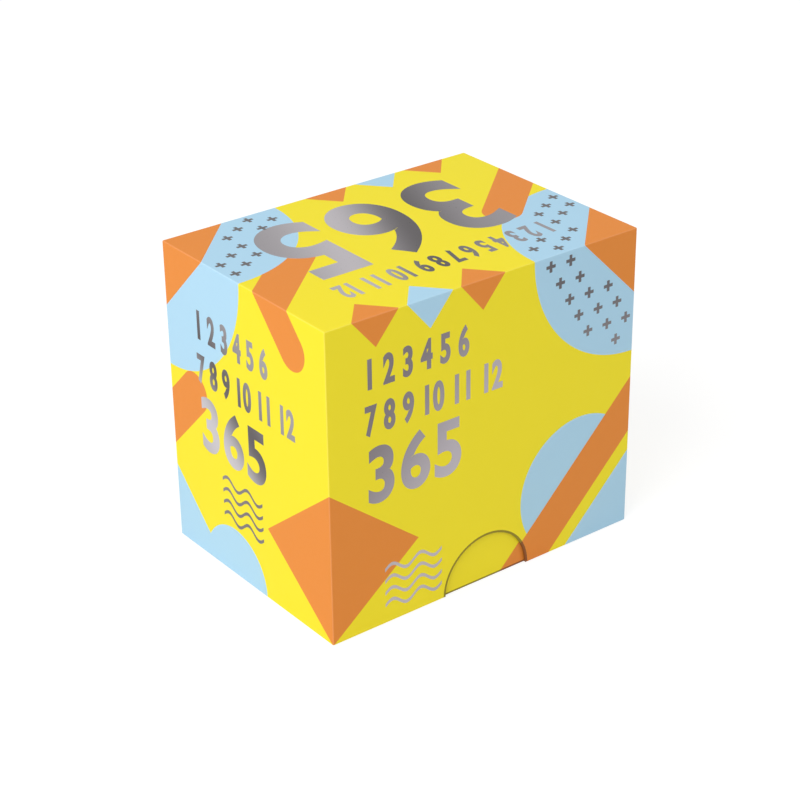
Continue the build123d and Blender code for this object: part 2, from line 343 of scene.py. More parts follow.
# %% Half of the layout
def half_layout(tree, place, colour, half_width, half_depth):
    front = beyond(tree, place, (0, -1, 0), half_depth - face_skin)
    left = beyond(tree, place, (-1, 0, 0), half_width - face_skin)
    right = beyond(tree, place, (1, 0, 0), half_width - face_skin)
    top = beyond(tree, place, (0, 0, 1), lid_top - face_skin)
    to_left = fold_chart(tree, place, (1, -1, 0), (0, 0, 1), (-half_depth, 0, 0))
    to_right = fold_chart(tree, place, (1, 1, 0), (0, 0, 1), (half_depth, 0, 0))
    to_top = fold_chart(tree, place, (1, 0, 0), (0, 1, 1), (0, half_depth - lid_top, 0))
    left_to_top = fold_chart(tree, place, (0, 1, 0), (1, 0, 1), (0, half_width - lid_top, 0))

    top_corner, low_corner = (half_width, -half_depth, lid_top), (half_width, 0, 0)
    cap_start = half_width + half_depth + lid_top - corner_cap_leg
    edge_middle, side_middle = (-half_width, edge_diamond_height, 0), (side_disc_place - half_width, 0, 0)
    on_edge = diamond(tree, to_left, edge_middle, edge_diamond_half, edge_diamond_height)
    # The slanted bar cuts the rising disc in half.
    rising = disc(tree, to_right, rising_disc_place, rising_disc_radius)
    above_slant = beyond(tree, to_right, (-1, 1, 0), slant_start[1] - slant_start[0])
    risen = node(tree, "ShaderNodeMath", {0: rising, 1: above_slant}, operation="MULTIPLY").outputs[0]
    layers = [
        (cool_ink, disc(tree, place, top_corner, corner_disc_radius), front, right, top),
        (warm_ink, beyond(tree, place, (1, -1, 1), cap_start), front, right, top),
        (cool_ink, risen, front),
        (warm_ink, bar(tree, to_right, slant_start, slant_end, slant_half_width), front, right),
        (cool_ink, diamond(tree, to_right, low_corner, low_diamond_half, low_diamond_half), front, right),
        (warm_ink, on_edge, front, left),
        (cool_ink, disc(tree, to_left, side_middle, side_disc_radius), left),
        (warm_ink, bar(tree, left_to_top, ribbon_start, ribbon_end, ribbon_half_width), left, top),
    ]
    for count, pennant_place in enumerate(pennant_places):
        pennant = diamond(tree, to_top, (pennant_place, 0, 0), pennant_half_width, pennant_half_height)
        layers.append(((warm_ink, cool_ink)[count % 2], pennant, front, top))
    for ink, shape, *faces in layers:
        colour = lay_ink(tree, colour, ink, shape, *faces)
    return colour


print("half layout with", len(pennant_places), "pennants over the front's top fold")

# %% [markdown]
# ### Paled folds and painted edge shade
#
# A wrapped edge is never as clean as a flat face. The film stretches and pales over a fold, and the
# paler line there is also a painted highlight for the light that a rounded fold catches. On the lip of
# the notch and along the tray's foot the print darkens to a thin line, which is painted shade: the
# shadow inside the notch and the contact shadow at the foot. Shade painted by hand would be lost at
# the next change of size. Masks worked out from the position follow the real edges.

# %% Paled folds with a painted highlight
# The paler line on each fold is partly the film's own paling and partly a painted highlight for the light
# that a rounded fold catches.
fold_width, fold_pale_highlight = 0.3, 0.05
more_than_one = 1.5


def pale_and_highlight_folds(tree, place, colour, half_width, half_depth):
    # On a rounded fold two of the three outer sizes are reached at once.
    size = node(tree, "ShaderNodeVectorMath", {0: place}, operation="ABSOLUTE").outputs[0]
    reached = 0.0
    for towards, distance in (
        ((1, 0, 0), half_width), ((0, 1, 0), half_depth), ((0, 0, 1), lid_top),
    ):
        over = beyond(tree, size, towards, distance - fold_width)
        reached = node(tree, "ShaderNodeMath", {0: reached, 1: over}).outputs[0]
    fold = node(tree, "ShaderNodeMath", {0: reached, 1: more_than_one}, operation="GREATER_THAN")
    pale_highlight = node(tree, "ShaderNodeMath", {0: fold.outputs[0], 1: fold_pale_highlight}, operation="MULTIPLY")
    return node(tree, "ShaderNodeMix", {
        MIX_FACTOR: pale_highlight.outputs[0], MIX_UNDER: colour, MIX_OVER: linear(pure_white),
    }, data_type="RGBA").outputs[MIX_RESULT]


print("folds pale by", fold_pale_highlight, "over", fold_width, "mm")

# %% Rubbed edges
notch_radius = 16.5
lip_width, foot_width, painted_shade_strength = 0.75, 0.8, 0.75
# The lip and foot lines are painted shade: a dark multiply over the print where the notch and the foot lie
# in shadow.
painted_shade_tint = "#4a3a20"


def paint_edge_shade(tree, place, colour, half_width, half_depth, lip_reach, foot_reach):
    upright = node(tree, "ShaderNodeVectorMath", {0: place, 1: (1, 0, 1)}, operation="MULTIPLY")
    lip = disc(tree, upright.outputs[0], (0, 0, 0), lip_reach)
    low = beyond(tree, place, (0, 0, -1), -foot_reach)
    # Only the walls get the painted shade at the foot, so the hem under the tray stays clean.
    size = node(tree, "ShaderNodeVectorMath", {0: place}, operation="ABSOLUTE").outputs[0]
    side_wall = beyond(tree, size, (1, 0, 0), half_width - fold_width)
    end_wall = beyond(tree, size, (0, 1, 0), half_depth - fold_width)
    wall = node(tree, "ShaderNodeMath", {0: side_wall, 1: end_wall}, operation="MAXIMUM")
    foot = node(tree, "ShaderNodeMath", {0: low, 1: wall.outputs[0]}, operation="MULTIPLY")
    # Painted shade: the lip of the notch and the tray's foot are darkened as if in shadow.
    edge_shade = node(tree, "ShaderNodeMath", {0: lip, 1: foot.outputs[0]}, operation="MAXIMUM")
    edge_shade = node(tree, "ShaderNodeMath", {0: edge_shade.outputs[0], 1: painted_shade_strength}, operation="MULTIPLY")
    return node(tree, "ShaderNodeMix", {
        MIX_FACTOR: edge_shade.outputs[0], MIX_UNDER: colour, MIX_OVER: linear(painted_shade_tint),
    }, data_type="RGBA", blend_type="MULTIPLY").outputs[MIX_RESULT]


print("rubbed: lip", lip_width, "mm, foot", foot_width, "mm")

# %% [markdown]
# ### The matt film
#
# The sheet is laminated: a thin plastic film is glued over the ink and keeps it from scuffing. A matt
# film takes away the mirror and leaves a low, wide sheen with a faint unevenness. One function makes
# the finish for both shells, because they differ only in their outer size and in the edge that rubs.

# %% Matt laminated art paper
# The grain of a real film is about 0.1 mm, too fine to show, so it is drawn coarser.
film_grain_mm = 1.4
no_lip, no_foot = 0.0, -1.0


def printed_wrap(name, half_width, half_depth, lip_reach, foot_reach):
    # Coated paper under a matt film: even ink, a low wide sheen and the film's faint unevenness.
    material, tree, shader, place = start_material(name)
    colour = linear(ground_ink)
    for turn in (1, -1):
        turned = node(tree, "ShaderNodeVectorMath", {0: place, 1: (turn, turn, 1)}, operation="MULTIPLY")
        colour = half_layout(tree, turned.outputs[0], colour, half_width, half_depth)
    colour = pale_and_highlight_folds(tree, place, colour, half_width, half_depth)
    colour = paint_edge_shade(tree, place, colour, half_width, half_depth, lip_reach, foot_reach)
    grain = node(tree, "ShaderNodeTexNoise", {"Vector": place, "Scale": 1 / film_grain_mm, "Detail": 3.0})
    sheen = node(tree, "ShaderNodeMapRange", {"Value": grain.outputs[0], "To Min": 0.58, "To Max": 0.68})
    relief = node(tree, "ShaderNodeBump", {
        "Strength": 0.05, "Distance": 0.1 * MM, "Height": grain.outputs[0],
    })
    feed(tree, shader, {
        "Base Color": colour, "Roughness": sheen.outputs[0], "Normal": relief.outputs[0],
        "Coat Weight": 0.05, "Coat Roughness": 0.35, "Specular IOR Level": 0.4,
    })
    return material


def dress(node_name, material):
    for slot in frame["nodes"][node_name].material_slots:
        slot.material = material
    print(node_name, "takes", material.name)


dress("lid_wrap", printed_wrap(
    "laminated_art_paper_lid", lid_half_width, lid_half_depth, notch_radius + lip_width, no_foot,
))
dress("tray_wrap", printed_wrap(
    "laminated_art_paper_tray", tray_half_width, tray_half_depth, no_lip, foot_width,
))

# %% [markdown]
# ## Hot-stamped foil
#
# The numbers on the box are stamped in silver foil: a hot die presses a metal film onto the wrap. It
# is a mirror that the paper's tooth blurs, so it shows a room only as a broad band of light and dark.
# An even white studio has nothing to mirror, so the band is a painted reflection drawn in the foil's
# own colour. Each face of the box looks at another part of a room and gets a painted band of its own.

# %% Silver hot-stamping foil
# The tooth of coated paper is under 0.1 mm, too fine to show, so it is drawn coarser.
paper_tooth_mm = 0.5


def stamping_foil(name, heading, wave_mm, phase, lean, dark, light):
    # Aluminium under a tinted lacquer: a blurred mirror, whose reflection is painted into the base colour,
    # dark and bright in turn along its heading. In that painted reflection a lamp's edge shows as a quick
    # step and its fade as a slow one, so the wave leans to one side.
    material, tree, shader, place = start_material(name)
    travel = node(tree, "ShaderNodeVectorMath", {0: place, 1: heading}, operation="DOT_PRODUCT")
    angle = node(tree, "ShaderNodeMath", {
        0: travel.outputs["Value"], 1: math.tau / wave_mm, 2: phase,
    }, operation="MULTIPLY_ADD")
    even = node(tree, "ShaderNodeMath", {0: angle.outputs[0]}, operation="SINE")
    leant = node(tree, "ShaderNodeMath", {
        0: even.outputs[0], 1: lean, 2: angle.outputs[0],
    }, operation="MULTIPLY_ADD")
    swing = node(tree, "ShaderNodeMath", {0: leant.outputs[0]}, operation="SINE")
    shine = node(tree, "ShaderNodeMapRange", {
        "Value": swing.outputs[0], "From Min": -1.0, "From Max": 1.0,
    })
    band = node(tree, "ShaderNodeMix", {
        MIX_FACTOR: shine.outputs[0], MIX_UNDER: linear(dark), MIX_OVER: linear(light),
    }, data_type="RGBA")
    tooth = node(tree, "ShaderNodeTexNoise", {"Vector": place, "Scale": 1 / paper_tooth_mm, "Detail": 2.0})
    blur = node(tree, "ShaderNodeMapRange", {"Value": tooth.outputs[0], "To Min": 0.24, "To Max": 0.36})
    feed(tree, shader, {
        "Base Color": band.outputs[MIX_RESULT], "Roughness": blur.outputs[0], "Metallic": 1.0,
    })
    print(name, "band", wave_mm, "mm")
    return material


front_foil = stamping_foil(
    "silver_stamping_foil_front", heading=(0.65, -0.55, -0.60), wave_mm=90.0, phase=2.03,
    lean=0.0, dark="#787174", light="#afa9af",
)
side_foil = stamping_foil(
    "silver_stamping_foil_side", heading=(0, -0.67, 0.74), wave_mm=67.0, phase=0.09,
    lean=-0.78, dark="#5d585a", light="#cac5c9",
)
top_foil = stamping_foil(
    "silver_stamping_foil_top", heading=(-0.92, 0.39, 0), wave_mm=88.0, phase=-0.50,
    lean=0.80, dark="#4e494b", light="#b6b1b5",
)
corner_foil = stamping_foil(
    "silver_stamping_foil_corner", heading=(0, 0, 1), wave_mm=100.0, phase=-1.57,
    lean=0.0, dark="#625f61", light="#8a8689",
)

# %% [markdown]
# ### Numbers from text
#
# Stamped foil stands a hair above the paper and ends in a sharp edge. Drawn in the wrap's material
# it would have soft edges up close, so each number is a mesh made from text. Blender's own font is
# wide and thin, so a line is first squeezed as an outline and then grown for weight, which keeps all
# its strokes equally bold.

# %% A line of numbers
digit_height_share, digit_spacing = 0.70, 1.1
curve_steps = 12
weld_distance = 0.002 * MM
foil_thickness, foil_sink = 0.024 * MM, 0.006 * MM
foil_lift = foil_thickness / 2 - foil_sink


def stamped_line(text, start, height, squeeze, bold_share):
    bpy.ops.object.select_all(action="DESELECT")
    bpy.ops.object.text_add()
    lettering = bpy.context.object
    lettering.data.body = text
    lettering.data.size = height / digit_height_share
    lettering.data.space_character = digit_spacing
    lettering.data.resolution_u = curve_steps
    bpy.ops.object.convert(target="CURVE")
    outline = bpy.context.object
    outline.scale.x = squeeze
    bpy.ops.object.transform_apply(location=False, rotation=False, scale=True)
    outline.data.offset = bold_share * height
    outline.data.extrude = foil_thickness / 2
    bpy.ops.object.convert(target="MESH")
    line = bpy.context.object
    line.location = (*start, 0)
    bpy.ops.object.transform_apply(location=True, rotation=True, scale=True)
    bpy.ops.object.mode_set(mode="EDIT")
    bpy.ops.mesh.select_all(action="SELECT")
    bpy.ops.mesh.remove_doubles(threshold=weld_distance)
    bpy.ops.object.mode_set(mode="OBJECT")
    return line


print("foil stands", round((foil_thickness - foil_sink) / MM, 3), "mm proud")

# %% [markdown]
# ### The stamped numbers
#
# Each wall carries the twelve months in two rows and the days of the year below them. The top has
# the same numbers, larger, and reads from behind. Walls set out one by one would drift apart, so one
# flat block serves all four. Copies of it are stood against the front and the left wall, and copies
# of these are turned half round to the back and the right, as the print is.

# %% One flat block of numbers
first_months, last_months, day_count = "1 2 3 4 5 6", "7 8 9 10 11 12", "365"
month_style = {"height": 9.3 * MM, "squeeze": 0.60, "bold_share": 0.05}
total_style = {"height": 17.9 * MM, "squeeze": 0.90, "bold_share": 0.04}
baselines = (-10.0 * MM, -25.0 * MM, -48.0 * MM)


def select_only(piece):
    bpy.ops.object.select_all(action="DESELECT")
    piece.select_set(True)
    bpy.context.view_layer.objects.active = piece


def join_flat(pieces):
    select_only(pieces[0])
    for piece in pieces:
        piece.select_set(True)
    bpy.ops.object.join()
    return bpy.context.object


flat_block = join_flat([
    stamped_line(first_months, (0, baselines[0]), **month_style),
    stamped_line(last_months, (0, baselines[1]), **month_style),
    stamped_line(day_count, (0, baselines[2]), **total_style),
])
print("flat block:", [round(value / MM, 1) for value in flat_block.dimensions[:2]], "mm")

# %% Number blocks on the four walls
front_inset, front_head = 13.6 * MM, 12.6 * MM
side_inset, side_head = 16.4 * MM, 16.6 * MM


def copy_of(piece):
    select_only(piece)
    bpy.ops.object.duplicate()
    return bpy.context.object


def stand_on_face(piece, location, tilt=0, turn=0):
    select_only(piece)
    piece.rotation_euler = (math.radians(tilt), 0, math.radians(turn))
    piece.location = location
    bpy.ops.object.transform_apply(location=True, rotation=True, scale=True)
    return piece


def half_turned_copy(piece):
    return stand_on_face(copy_of(piece), (0, 0, 0), turn=180)


def keep(piece, name, body, material):
    piece.name = name
    piece.data.name = name
    piece.data.materials.clear()
    piece.data.materials.append(material)
    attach(piece, body)
    print(name, len(piece.data.polygons), "faces on", body)


def stamp(piece, name, foil):
    keep(piece, name, "lid", foil)


front_start = (lid_low[0] + front_inset, lid_low[1] - foil_lift, lid_high[2] - front_head)
side_start = (lid_low[0] - foil_lift, lid_high[1] - side_inset, lid_high[2] - side_head)
front_block = stand_on_face(copy_of(flat_block), front_start, tilt=90)
left_block = stand_on_face(copy_of(flat_block), side_start, tilt=90, turn=-90)
back_block = half_turned_copy(front_block)
right_block = half_turned_copy(left_block)
stamp(front_block, "foil_numbers_front", front_foil)
stamp(left_block, "foil_numbers_left", side_foil)
stamp(back_block, "foil_numbers_back", front_foil)
stamp(right_block, "foil_numbers_right", side_foil)

# %% Numbers on the top
top_months = f"{first_months} {last_months}"
top_month_style = {"height": 8.9 * MM, "squeeze": 0.54, "bold_share": 0.045}
top_total_style = {"height": 41.0 * MM, "squeeze": 0.88, "bold_share": 0.035}
top_start, top_row_gap = (40.0 * MM, 28.0 * MM), 47.5 * MM

top_numbers = join_flat([
    stamped_line(day_count, (0, 0), **top_total_style),
    stamped_line(top_months, (0, top_row_gap), **top_month_style),
])
stand_on_face(top_numbers, (*top_start, lid_high[2] + foil_lift), turn=180)
stamp(top_numbers, "foil_numbers_top", top_foil)

# %% [markdown]
# ### Plus signs
#
# Rows of small foil plus signs fill the corner discs. A plus could be two crossed boxes, but they
# would run through each other. So it starts as one small square whose four sides are pulled out into
# arms. It is modelled once, and copies are set out in staggered rows. A test keeps those that lie
# inside the disc, off the corner cap and clear of the top's numbers.

# %% A plus sign
plus_stroke, plus_arm = 1.1 * MM, 1.3 * MM
nearness = 0.1


def thicken(piece, thickness):
    select_only(piece)
    solidify = piece.modifiers.new("thickness", "SOLIDIFY")
    solidify.thickness = thickness
    solidify.offset = 0
    bpy.ops.object.modifier_apply(modifier=solidify.name)


def select_end_edge(piece, outward, reach):
    bpy.ops.mesh.select_mode(type="EDGE")
    bpy.ops.mesh.select_all(action="DESELECT")
    mesh = bmesh.from_edit_mesh(piece.data)
    for edge in mesh.edges:
        middle = (edge.verts[0].co + edge.verts[1].co) / 2
        edge.select_set((middle - reach * outward).length < nearness * reach)
    bmesh.update_edit_mesh(piece.data)


bpy.ops.object.select_all(action="DESELECT")
bpy.ops.mesh.primitive_plane_add(size=plus_stroke)
plus = bpy.context.object
bpy.ops.object.mode_set(mode="EDIT")
for quarter in range(4):
    outward = Vector((math.cos(quarter * math.pi / 2), math.sin(quarter * math.pi / 2), 0))
    select_end_edge(plus, outward, plus_stroke / 2)
    bpy.ops.mesh.extrude_region_move(TRANSFORM_OT_translate={"value": plus_arm * outward})
bpy.ops.mesh.select_all(action="SELECT")
bpy.ops.mesh.normals_make_consistent(inside=False)
bpy.ops.object.mode_set(mode="OBJECT")
thicken(plus, foil_thickness)
print("plus sign:", len(plus.data.polygons), "faces,", round(plus.dimensions.x / MM, 2), "mm across")

# %% Plus signs on the corner discs
plus_pitch_across, plus_pitch_down, plus_margin = 8.0, 6.5, 3.5
row_stagger = 0.5
top_clear_across, top_clear_down = 13.0, 17.0

plus_rows = math.ceil(corner_disc_radius / plus_pitch_down)
plus_columns = math.ceil(corner_disc_radius / plus_pitch_across)
front_copies, top_copies = [], []
for row in range(plus_rows):
    for column in range(plus_columns):
        across = plus_margin + (column + row_stagger * (row % 2)) * plus_pitch_across
        down = plus_margin + row * plus_pitch_down
        in_disc = math.hypot(across, down) < corner_disc_radius - plus_margin
        if in_disc and across + down > corner_cap_leg + plus_margin:
            plus_place = (-across * MM, -down * MM, 0)
            front_copies.append(stand_on_face(copy_of(plus), plus_place))
            if across < top_clear_across or down < top_clear_down:
                top_copies.append(stand_on_face(copy_of(plus), plus_place))
bpy.data.objects.remove(plus)

top_corner = (lid_high[0], lid_low[1], lid_high[2] + foil_lift)
front_corner = (lid_high[0], lid_low[1] - foil_lift, lid_high[2])
top_patch = stand_on_face(join_flat(top_copies), top_corner, turn=-90)
front_patch = stand_on_face(join_flat(front_copies), front_corner, tilt=90)
front_plus = join_flat([front_patch, top_patch])
back_plus = half_turned_copy(front_plus)
stamp(front_plus, "foil_plus_front_corner", corner_foil)
stamp(back_plus, "foil_plus_back_corner", corner_foil)

# %% [markdown]
# ### Waves
#
# Fine foil waves run beside the notch and low on the left wall. A curve with a thickness would give
# a round wire, while foil is flat. So a wave starts as a long grid, because a straight strip needs
# points along its length before it can bend. A sine lifts each point, and an array makes the rows.

# %% Waves
wave_run, wave_stroke, wave_pitch, wave_count = 22.0 * MM, 1.2 * MM, 4.2 * MM, 4
wave_length, wave_swing, wave_steps = 11.0 * MM, 1.5 * MM, 36
front_waves_place = (-29.0 * MM, lid_low[1] - foil_lift, 19.0 * MM)
side_waves_place = (lid_low[0] - foil_lift, 4.0 * MM, 33.0 * MM)


def repeat(piece, count, step):
    select_only(piece)
    rows = piece.modifiers.new("rows", "ARRAY")
    rows.count = count
    rows.use_relative_offset = False
    rows.use_constant_offset = True
    rows.constant_offset_displace = step
    bpy.ops.object.modifier_apply(modifier=rows.name)


bpy.ops.object.select_all(action="DESELECT")
bpy.ops.mesh.primitive_grid_add(x_subdivisions=wave_steps, y_subdivisions=1, size=1.0)
waves = bpy.context.object
bpy.ops.object.mode_set(mode="EDIT")
bpy.ops.transform.resize(value=(wave_run, wave_stroke, 1.0))
bpy.ops.object.mode_set(mode="OBJECT")
for vertex in waves.data.vertices:
    vertex.co.y += wave_swing * math.sin(math.tau * vertex.co.x / wave_length)
thicken(waves, foil_thickness)
repeat(waves, wave_count, (0, -wave_pitch, 0))

side_waves = copy_of(waves)
stand_on_face(waves, front_waves_place, tilt=90)
stand_on_face(side_waves, side_waves_place, tilt=90, turn=-90)
waves = join_flat([waves, side_waves])
turned_waves = half_turned_copy(waves)
stamp(waves, "foil_waves_front_left", front_foil)
stamp(turned_waves, "foil_waves_back_right", front_foil)

# %% [markdown]
# ## Boards and plain papers
#
# Inside, the box is as plain as any stationery box: white lining paper, greyboard from waste pulp
# with flecks of fibre, and brown kraft tape round the corners. A plain yellow sheet closes the tray
# below. Real scans of paper would do, but these four differ only in colour and in the size and
# direction of their fibres, so one function makes them all.

# %% Fibrous papers
# Single fibres are too thin to show, so the patterns draw their clumps, about a millimetre wide.
# A noise mostly keeps between these two values, so they become the darkest and the palest tone.
noise_dark, noise_pale = 0.3, 0.7
flecks_per_fibre = 0.9


def fibre_paper(name, pale, dark, fleck, fibre_mm, relief_mm, stretch=(1, 1, 1)):
    # Uncoated pulp: no gloss at all, a cloudy tone and short fibres that catch the light.
    material, tree, shader, place = start_material(name)
    drawn = node(tree, "ShaderNodeVectorMath", {0: place, 1: stretch}, operation="MULTIPLY")
    fibres = node(tree, "ShaderNodeTexNoise", {
        "Vector": drawn.outputs[0], "Scale": 1 / fibre_mm, "Detail": 5.0, "Roughness": 0.65,
    })
    tone = node(tree, "ShaderNodeMapRange", {
        "Value": fibres.outputs[0], "From Min": noise_dark, "From Max": noise_pale,
    })
    colour = node(tree, "ShaderNodeMix", {
        MIX_FACTOR: tone.outputs[0], MIX_UNDER: linear(dark), MIX_OVER: linear(pale),
    }, data_type="RGBA")
    specks = node(tree, "ShaderNodeTexNoise", {
        "Vector": drawn.outputs[0], "Scale": flecks_per_fibre / fibre_mm,
    })
    # Only the few highest peaks of the noise show as flecks.
    speck_mask = node(tree, "ShaderNodeMapRange", {
        "Value": specks.outputs[0], "From Min": 0.66, "From Max": 0.72, "To Max": 0.6,
    })
    colour = node(tree, "ShaderNodeMix", {
        MIX_FACTOR: speck_mask.outputs[0], MIX_UNDER: colour.outputs[MIX_RESULT], MIX_OVER: linear(fleck),
    }, data_type="RGBA")
    relief = node(tree, "ShaderNodeBump", {
        "Strength": 0.35, "Distance": relief_mm * MM, "Height": fibres.outputs[0],
    })
    feed(tree, shader, {
        "Base Color": colour.outputs[MIX_RESULT], "Normal": relief.outputs[0],
        "Roughness": 0.92, "Specular IOR Level": 0.25,
    })
    return material


greyboard = fibre_paper("grey_pulp_board", "#a59c8e", "#857c70", "#5d564d", 1.2, 0.05)
lining_paper = fibre_paper("white_lining_paper", "#f6f3ec", "#ece8df", "#e0dacd", 0.8, 0.02)
kraft_tape = fibre_paper("brown_kraft_tape", "#bb9566", "#a67f52", "#8a6740", 0.6, 0.03, (1, 1, 0.2))
base_paper = fibre_paper("yellow_base_paper", "#f4e21c", "#e6d312", "#d8c40e", 0.9, 0.02)
for paper, covered in (
    (greyboard, ("lid_board", "tray_board", "backing_board")),
    (lining_paper, ("lid_lining", "tray_lining")),
    (kraft_tape, ("lid_corner_stays", "tray_corner_stays")),
    (base_paper, ("tray_base_sheet",)),
):
    for node_name in covered:
        dress(node_name, paper)

# %% [markdown]
# ## The block of leaves
#
# The block is 365 thin leaves in twelve months. Each day has a coloured heading that runs off the
# paper's edge, so the trimmed block shows a coloured band for each month. A solid block would look
# like wood, so one leaf is modelled, an array stacks the days of a month, and each leaf is then
# shifted by a hair, as a trimmed block settles in use. The shifts come from a seeded generator, so
# the block is the same each time. A noise stretched along the leaves tones their cut edges.

# %% Leaf paper
heading_depth = 17.0
leaf_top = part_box("january_leaves")[1][2] / MM
heading_foot = leaf_top - heading_depth
leaf_white, leaf_shade = "#fbf9f4", "#e0dcd3"
# Leaves are 0.14 mm thick, too thin to show, so their edges are toned in bundles of about 0.6 mm.
# The darker streaks are partly the paper's own uneven tone and partly painted shade for the gaps between
# leaves.
bundle_mm, along_the_leaf = 0.6, (0.006, 1.0, 0.006)
ink_soak = 0.6


def leaf_paper(name, heading_ink):
    # Uncoated offset paper: nearly white, dull, with the heading's ink soaked into its edge.
    material, tree, shader, place = start_material(name)
    heading = beyond(tree, place, (0, 0, 1), heading_foot)
    cuts = node(tree, "ShaderNodeVectorMath", {0: place, 1: along_the_leaf}, operation="MULTIPLY")
    bundles = node(tree, "ShaderNodeTexNoise", {
        "Vector": cuts.outputs[0], "Scale": 1 / bundle_mm, "Detail": 2.0,
    })
    tone = node(tree, "ShaderNodeMapRange", {
        "Value": bundles.outputs[0], "From Min": noise_dark, "From Max": noise_pale,
    })
    paper = node(tree, "ShaderNodeMix", {
        MIX_FACTOR: tone.outputs[0], MIX_UNDER: linear(leaf_shade), MIX_OVER: linear(leaf_white),
    }, data_type="RGBA")
    ink = node(tree, "ShaderNodeMix", {
        MIX_FACTOR: tone.outputs[0], MIX_UNDER: linear(leaf_white), MIX_OVER: linear(heading_ink),
    }, data_type="RGBA")
    ink = node(tree, "ShaderNodeMix", {
        MIX_FACTOR: ink_soak, MIX_UNDER: ink.outputs[MIX_RESULT], MIX_OVER: linear(heading_ink),
    }, data_type="RGBA")
    colour = node(tree, "ShaderNodeMix", {
        MIX_FACTOR: heading, MIX_UNDER: paper.outputs[MIX_RESULT], MIX_OVER: ink.outputs[MIX_RESULT],
    }, data_type="RGBA")
    feed(tree, shader, {
        "Base Color": colour.outputs[MIX_RESULT], "Roughness": 0.88, "Specular IOR Level": 0.25,
    })
    return material


leaf_papers = [leaf_paper(f"offset_paper_{word}", ink) for word, ink in (
    ("warm", warm_ink), ("cool", cool_ink), ("yellow", ground_ink),
)]
print("heading band from", round(heading_foot, 1), "mm up")

# %% Months of leaves
month_days = {
    "january": 31, "february": 28, "march": 31, "april": 30, "may": 31, "june": 30,
    "july": 31, "august": 31, "september": 30, "october": 31, "november": 30, "december": 31,
}
leaf_share = 0.9
leaf_shift, leaf_corners = 0.08 * MM, 8
shuffle = random.Random(365)

for count, (month, leaf_count) in enumerate(month_days.items()):
    low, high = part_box(f"{month}_leaves")
    pitch = (high[1] - low[1]) / leaf_count
    width, height = high[0] - low[0] - 2 * leaf_shift, high[2] - low[2] - leaf_shift
    bpy.ops.object.select_all(action="DESELECT")
    bpy.ops.mesh.primitive_plane_add(size=1.0, rotation=(math.radians(90), 0, 0))
    stack = bpy.context.object
    stack.scale = (width, height, 1)
    stack.location = (0, low[1] + pitch / 2, low[2] + leaf_shift + height / 2)
    bpy.ops.object.transform_apply(location=True, rotation=True, scale=True)
    thicken(stack, leaf_share * pitch)
    repeat(stack, leaf_count, (0, pitch, 0))
    for day in range(leaf_count):
        shift = Vector((shuffle.uniform(-1, 1), 0, shuffle.uniform(-1, 0))) * leaf_shift
        for vertex in stack.data.vertices[day * leaf_corners:(day + 1) * leaf_corners]:
            vertex.co += shift
    keep(stack, f"{month}_day_leaves", "pad", leaf_papers[count % len(leaf_papers)])
    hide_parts(f"{month}_leaves")

# %% [markdown]
# ## The cover card
#
# A stiffer card in the box's yellow covers the first leaf. It has a pale panel with round ends and
# the numbers of the months in dark ink. The panel could be a piece of its own, but print has no
# thickness, so it is the bar shape again. The numbers are the flat block itself, now that all its
# copies are made, so the cover and the lid agree.

# %% Printed cover card
panel_half_length, panel_half_height, panel_height = 17.0, 29.0, 70.0
panel_white, card_grain_mm = "#fbf8ee", 0.9
cover_low, cover_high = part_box("cover_leaf")

# Solid bleached board with a matt ink film: smoother than the leaves, with a faint sheen.
cover_card, tree, shader, place = start_material("printed_cover_card")
upright = fold_chart(tree, place, (1, 0, 0), (0, 0, 1), (0, -panel_height, 0))
panel = bar(tree, upright, (-panel_half_length, 0), (panel_half_length, 0), panel_half_height)
facing = beyond(tree, place, (0, -1, 0), -cover_high[1] / MM)
grain = node(tree, "ShaderNodeTexNoise", {"Vector": place, "Scale": 1 / card_grain_mm, "Detail": 4.0})
relief = node(tree, "ShaderNodeBump", {
    "Strength": 0.08, "Distance": 0.05 * MM, "Height": grain.outputs[0],
})
feed(tree, shader, {
    "Base Color": lay_ink(tree, linear(ground_ink), panel_white, panel, facing),
    "Normal": relief.outputs[0], "Roughness": 0.6,
})
dress("cover_leaf", cover_card)

# %% Ink numbers on the cover
ink_dark, ink_pale, mottle_mm = "#3f3a46", "#57515f", 0.7

# Offset ink dries flush with the card and a little glossier than it.
dark_ink, tree, shader, place = start_material("dark_offset_ink")
mottle = node(tree, "ShaderNodeTexNoise", {"Vector": place, "Scale": 1 / mottle_mm, "Detail": 3.0})
colour = node(tree, "ShaderNodeMix", {
    MIX_FACTOR: mottle.outputs[0], MIX_UNDER: linear(ink_dark), MIX_OVER: linear(ink_pale),
}, data_type="RGBA")
feed(tree, shader, {"Base Color": colour.outputs[MIX_RESULT], "Roughness": 0.45})

block_middle = (-flat_block.dimensions.x / 2, panel_height * MM + flat_block.dimensions.y / 2)
cover_start = (block_middle[0], cover_low[1] - foil_lift, block_middle[1])
cover_block = stand_on_face(flat_block, cover_start, tilt=90)
keep(cover_block, "ink_numbers_cover", "pad", dark_ink)

# %% [markdown]
# ## The glued head
#
# The leaves are held by padding glue, a white rubbery glue that is brushed along the clamped block
# and peels away leaf by leaf. The brush leaves long low ridges. They are real relief in a fine grid,
# because a bump in the material would leave the outline of the head dead straight.

# %% Brushed glue
glue_low, glue_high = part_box("head_glue")
glue_width, glue_depth = glue_high[0] - glue_low[0], glue_high[1] - glue_low[1]
glue_steps_across, glue_steps_deep = 96, 48
brush_length, brush_width, brush_depth = 16.0 * MM, 1.6 * MM, 0.22 * MM
glue_round, glue_rim = 0.35 * MM, 0.1 * MM
smooth_angle = math.radians(40)

